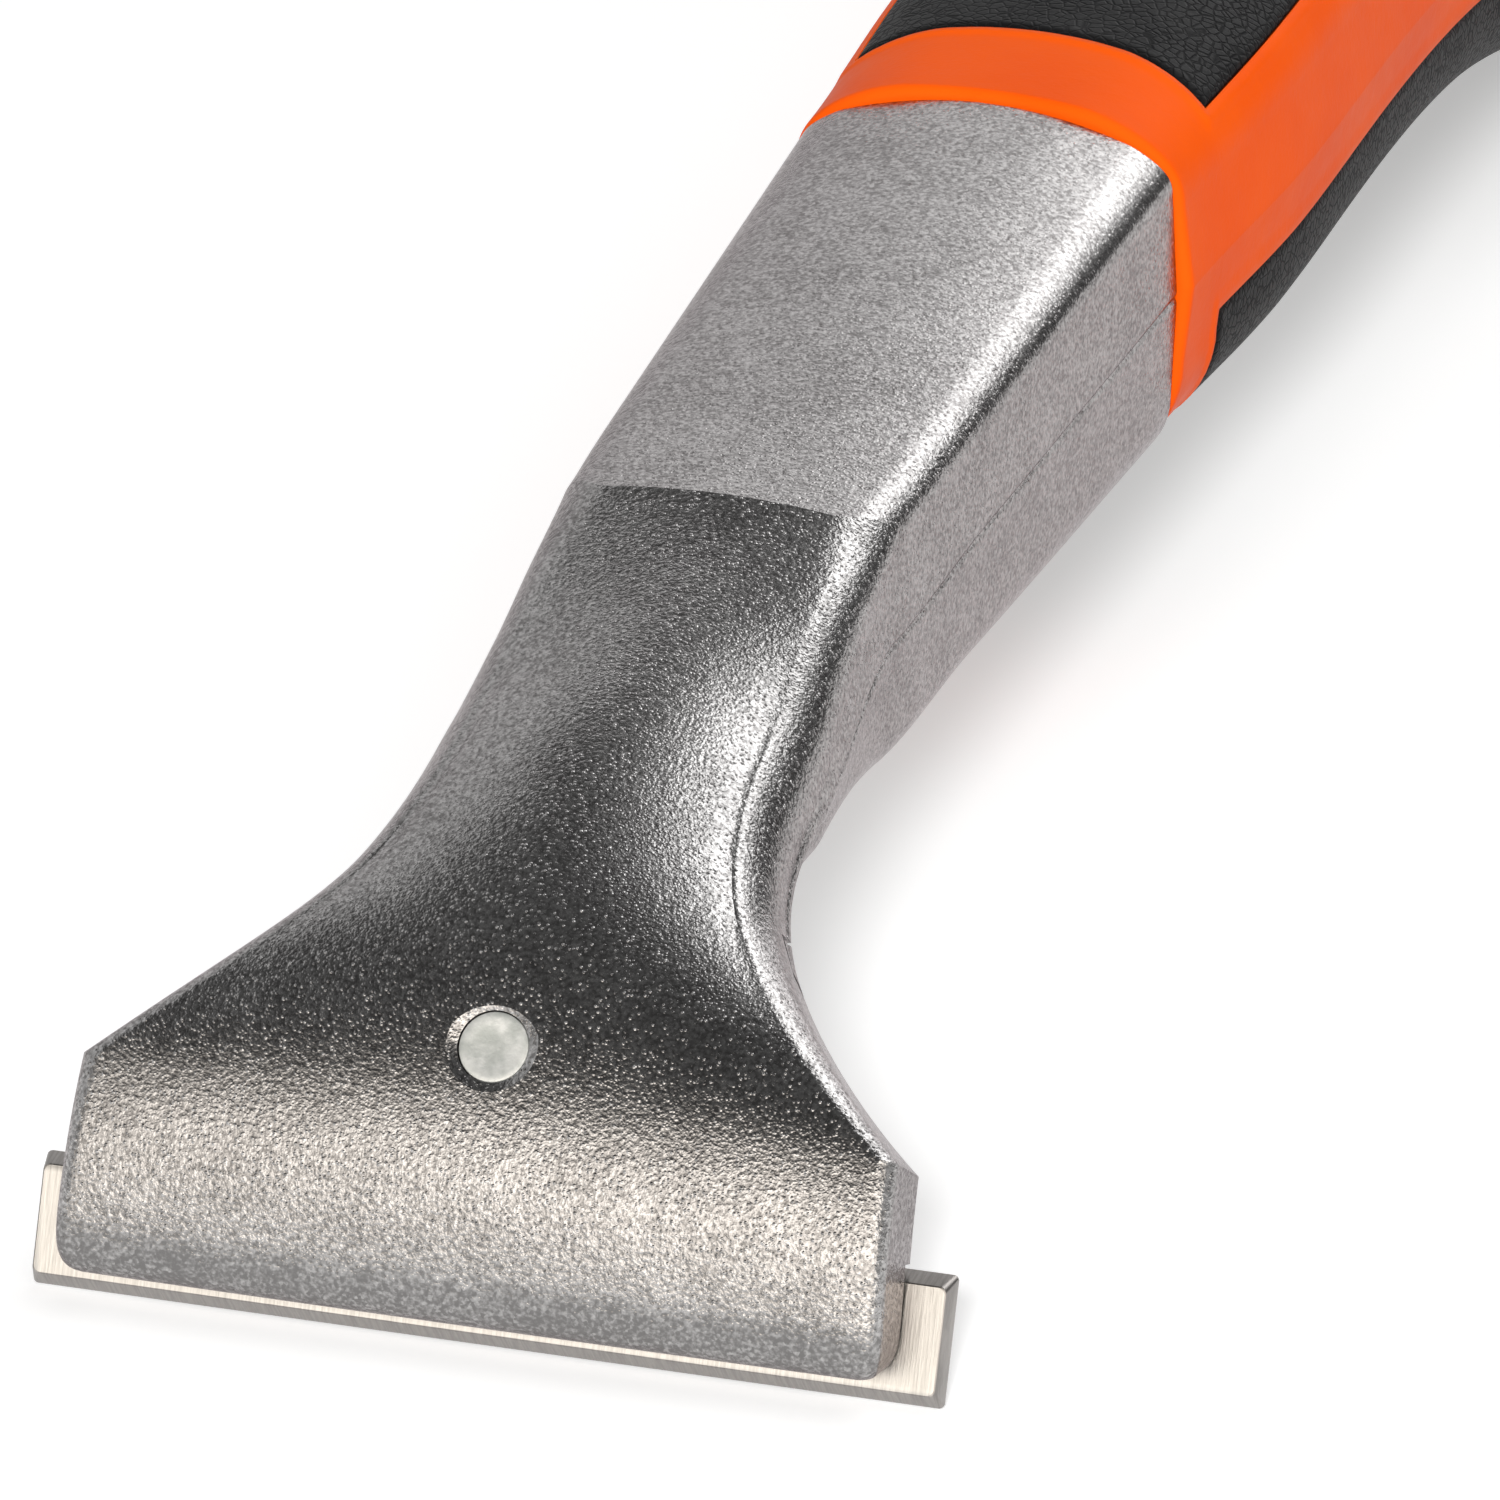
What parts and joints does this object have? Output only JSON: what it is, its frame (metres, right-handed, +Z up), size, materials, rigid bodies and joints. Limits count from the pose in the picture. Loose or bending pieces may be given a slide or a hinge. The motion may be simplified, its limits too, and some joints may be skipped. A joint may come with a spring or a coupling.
{
  "type": "paint scraper",
  "caption": "Pull scraper: a cast aluminium head clamps a reversible carbide blade, on an orange handle with soft black grips and a hang hole.",
  "frame": {"origin": "under the middle of the tool's box, on the table it lies on", "axes": "+X along the blade, +Y from the blade to the butt of the handle, +Z up from the table"},
  "size_m": [0.05, 0.2426, 0.037],
  "materials": {
    "cast_aluminium": "shot-blasted",
    "carbide": "ground",
    "zinc_plated_steel": "matte",
    "orange_plastic": "satin",
    "black_rubber": "matte"
  },
  "bodies": {
    "tool": {"head_casting": "cast_aluminium", "handle_core": "orange_plastic", "grip_top": "black_rubber", "grip_bottom": "black_rubber"},
    "clamp": {"clamp_jaw": "cast_aluminium", "screw_washer": "zinc_plated_steel"},
    "screw": {"clamp_screw": "zinc_plated_steel"},
    "blade": {"carbide_blade": "carbide"}
  },
  "joints": [
    {"name": "jaw_release", "type": "slide", "parent": "tool", "child": "clamp", "axis": [0, 0.809, -0.5878], "range_m": [0, 0.003]},
    {"name": "screw_turn", "type": "hinge", "parent": "clamp", "child": "screw", "pos_m": [0, -0.10431, 0.00818], "axis": [0, 0.809, -0.5878], "range_deg": [0, 1542.86]},
    {"name": "blade_slide", "type": "slide", "parent": "tool", "child": "blade", "axis": [1, 0, 0], "range_m": [-0.025, 0.025]}
  ],
  "couplings": [
    {"joint": "screw_turn", "follows": "jaw_release", "rad_per_m": 8976}
  ]
}
